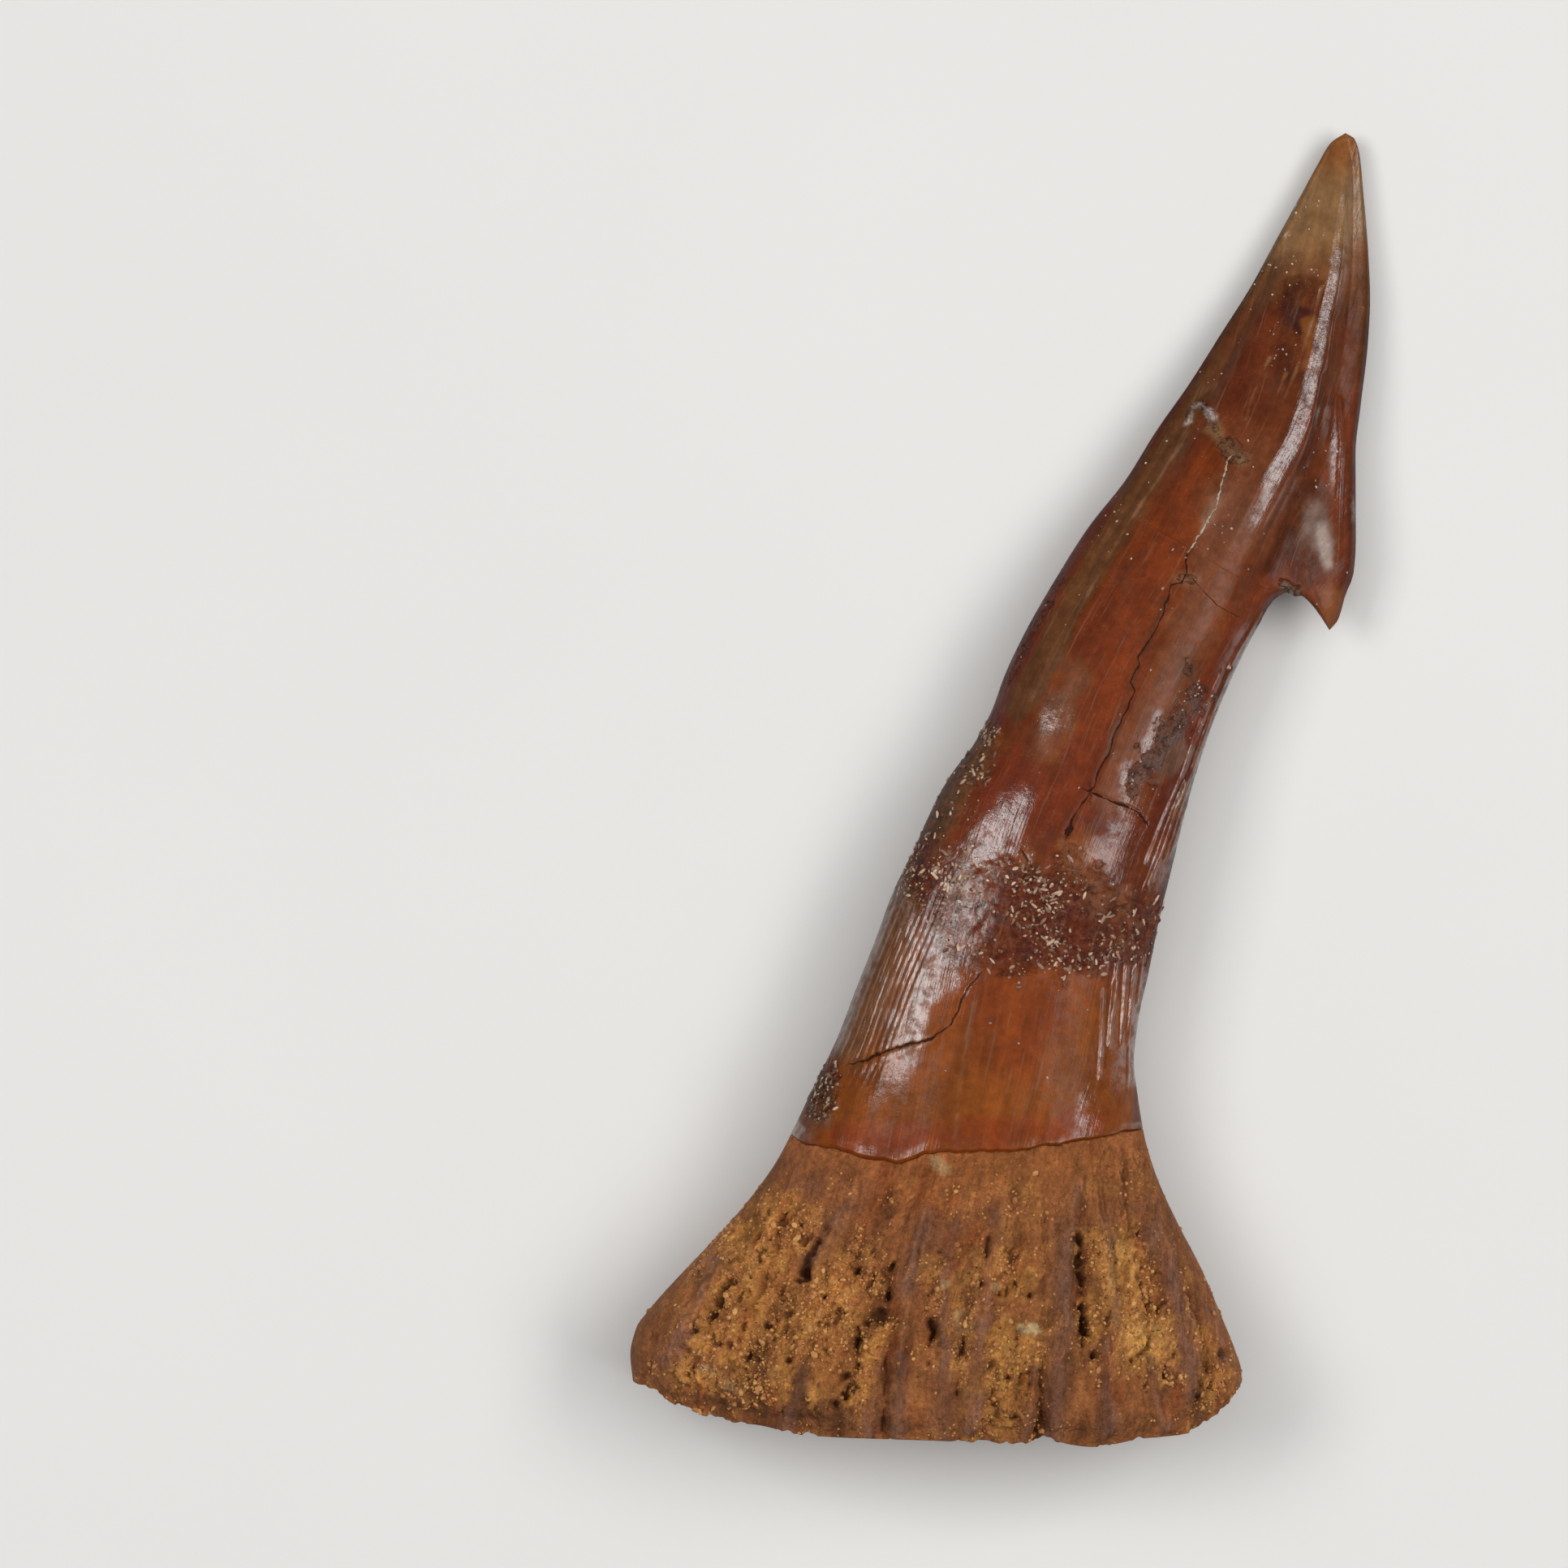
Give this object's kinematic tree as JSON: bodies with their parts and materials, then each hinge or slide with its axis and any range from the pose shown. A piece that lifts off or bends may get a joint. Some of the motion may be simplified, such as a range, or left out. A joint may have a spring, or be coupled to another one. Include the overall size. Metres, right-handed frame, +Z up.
{
  "type": "fossil sawfish rostral tooth",
  "caption": "Slender curved fossil tooth lying flat: glossy red-brown crown with one barb below the tip, above a flared, fluted and pitted root with a hollow base.",
  "frame": {"origin": "middle of the box's bottom, on the surface that the tooth lies on", "axes": "+Y from the root to the tip, +X towards the barb's side, +Z up out of the surface"},
  "size_m": [0.0326, 0.0576, 0.0097],
  "materials": {
    "fossil_tooth": "glossy enamel on the crown, rough porous bone on the root"
  },
  "bodies": {
    "root": {"rostral_tooth": "fossil_tooth"}
  },
  "joints": []
}
